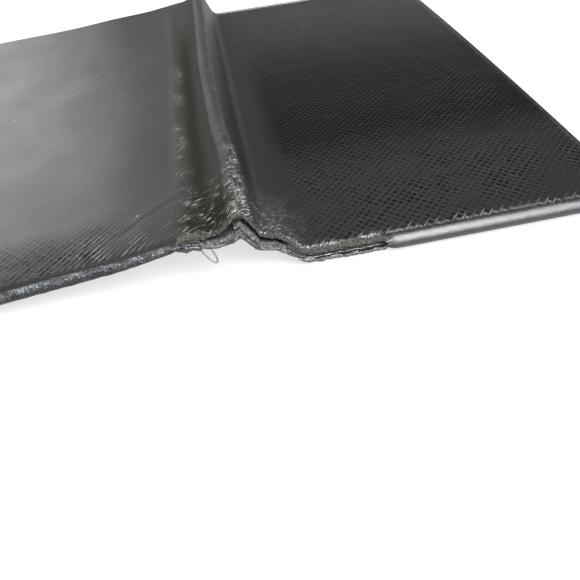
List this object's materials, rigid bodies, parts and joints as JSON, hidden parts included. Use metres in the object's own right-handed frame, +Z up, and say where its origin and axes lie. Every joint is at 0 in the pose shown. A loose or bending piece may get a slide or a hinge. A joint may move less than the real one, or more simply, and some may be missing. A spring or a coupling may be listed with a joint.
{
  "type": "card holder",
  "caption": "Long bifold leather card holder lying open with its outside up: two panels of card pockets joined by a folding spine.",
  "frame": {"origin": "on the table, under the middle of the open holder's outline", "axes": "+X across the open holder from the left panel to the right one, +Y along the fold away from the worn end, +Z up from the table, towards the outside of the cover"},
  "size_m": [0.1948, 0.185, 0.0147],
  "materials": {
    "cover_leather": "crosshatch grain, satin",
    "pocket_leather": "fine grain, satin",
    "lining_cloth": "fine twill, matt",
    "board": "pressed fibre, matt",
    "reinforcement": "bonded fibre, matt",
    "edge_paint": "gloss edge coat",
    "thread": "twisted sewing thread"
  },
  "bodies": {
    "right_panel": {"cover_right": "cover_leather", "board_right": "board", "lining_right": "lining_cloth", "slip_pocket_right": "pocket_leather", "card_pocket_back_right": "pocket_leather", "card_pocket_middle_right": "pocket_leather", "card_pocket_front_right": "pocket_leather", "pocket_cloth_back_right": "lining_cloth", "pocket_cloth_middle_right": "lining_cloth", "edge_paint_right": "edge_paint", "pocket_seams_right": "thread"},
    "spine": {"cover_spine": "cover_leather", "spine_reinforcement": "reinforcement", "spine_lining": "lining_cloth"},
    "left_panel": {"cover_left": "cover_leather", "board_left": "board", "lining_left": "lining_cloth", "slip_pocket_left": "pocket_leather", "card_pocket_back_left": "pocket_leather", "card_pocket_middle_left": "pocket_leather", "card_pocket_front_left": "pocket_leather", "pocket_cloth_back_left": "lining_cloth", "pocket_cloth_middle_left": "lining_cloth", "edge_paint_left": "edge_paint", "pocket_seams_left": "thread", "loose_thread": "thread"}
  },
  "joints": [
    {"name": "right_fold", "type": "hinge", "parent": "right_panel", "child": "spine", "pos_m": [0.00544, 0, 0.00295], "axis": [0, -1, 0], "range_deg": [-10, 124.1]},
    {"name": "left_fold", "type": "hinge", "parent": "spine", "child": "left_panel", "pos_m": [-0.00586, 0, 0.0106], "axis": [0, -1, 0], "range_deg": [-40, 54.5]}
  ]
}
